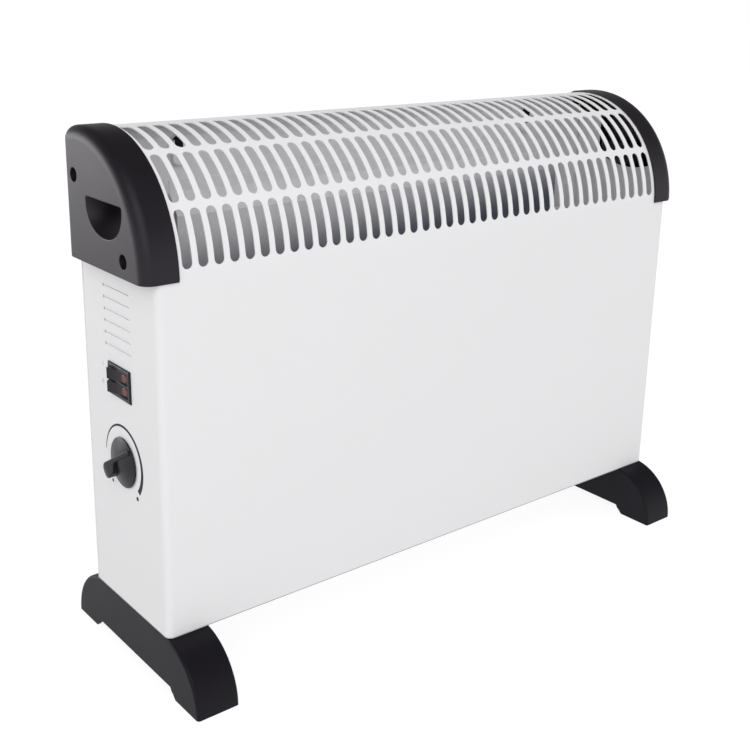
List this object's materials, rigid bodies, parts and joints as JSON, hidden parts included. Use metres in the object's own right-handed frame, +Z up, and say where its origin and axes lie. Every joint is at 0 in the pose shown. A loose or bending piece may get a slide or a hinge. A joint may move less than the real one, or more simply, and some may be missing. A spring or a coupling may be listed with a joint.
{
  "type": "convector heater",
  "caption": "Free-standing convector heater with a folded sheet casing, slotted curved top, moulded end caps with handle pockets, feet, rocker switch and thermostat knob.",
  "frame": {"origin": "on the floor, under the middle of the casing", "axes": "+Z up; +X along the casing, away from the control side; -Y is the front"},
  "size_m": [0.5336, 0.1836, 0.3899],
  "materials": {
    "white_paint": "satin powder coat",
    "galvanised_sheet": "plain galvanised sheet",
    "black_plastic": "fine matt texture",
    "switch_plastic": "satin",
    "red_lens": "clear gloss",
    "bakelite": "moulded",
    "terminal_plastic": "moulded",
    "mica": "flat board",
    "resistance_wire": "dull ribbon",
    "steel": "turned",
    "brass_tabs": "stamped"
  },
  "bodies": {
    "casing": {"front_shell": "white_paint", "back_panel": "white_paint", "bottom_plate": "galvanised_sheet", "left_cap": "black_plastic", "right_cap": "black_plastic", "left_foot": "black_plastic", "right_foot": "black_plastic", "reflector": "galvanised_sheet", "control_wall": "galvanised_sheet", "end_wall": "galvanised_sheet", "element_rails": "galvanised_sheet", "mica_boards": "mica", "heating_ribbon_front": "resistance_wire", "heating_ribbon_rear": "resistance_wire", "thermal_cutout": "bakelite", "thermostat_body": "bakelite", "switch_housing": "switch_plastic", "switch_tabs": "brass_tabs", "terminal_block": "terminal_plastic", "cord_bush": "black_plastic"},
    "thermostat_knob": {"thermostat_shaft": "steel", "knob": "black_plastic"},
    "lower_rocker": {"rocker_lower": "switch_plastic", "lens_lower": "red_lens"},
    "upper_rocker": {"rocker_upper": "switch_plastic", "lens_upper": "red_lens"}
  },
  "joints": [
    {"name": "knob_turn", "type": "hinge", "parent": "casing", "child": "thermostat_knob", "pos_m": [-0.2575, 0.0012, 0.1585], "axis": [1, 0, 0], "range_deg": [0, 257]},
    {"name": "lower_rocker_tilt", "type": "hinge", "parent": "casing", "child": "lower_rocker", "pos_m": [-0.2549, 0.0019, 0.21295], "axis": [0, 0, -1], "range_deg": [0, 22]},
    {"name": "upper_rocker_tilt", "type": "hinge", "parent": "casing", "child": "upper_rocker", "pos_m": [-0.2549, 0.0019, 0.22265], "axis": [0, 0, -1], "range_deg": [0, 22]}
  ]
}
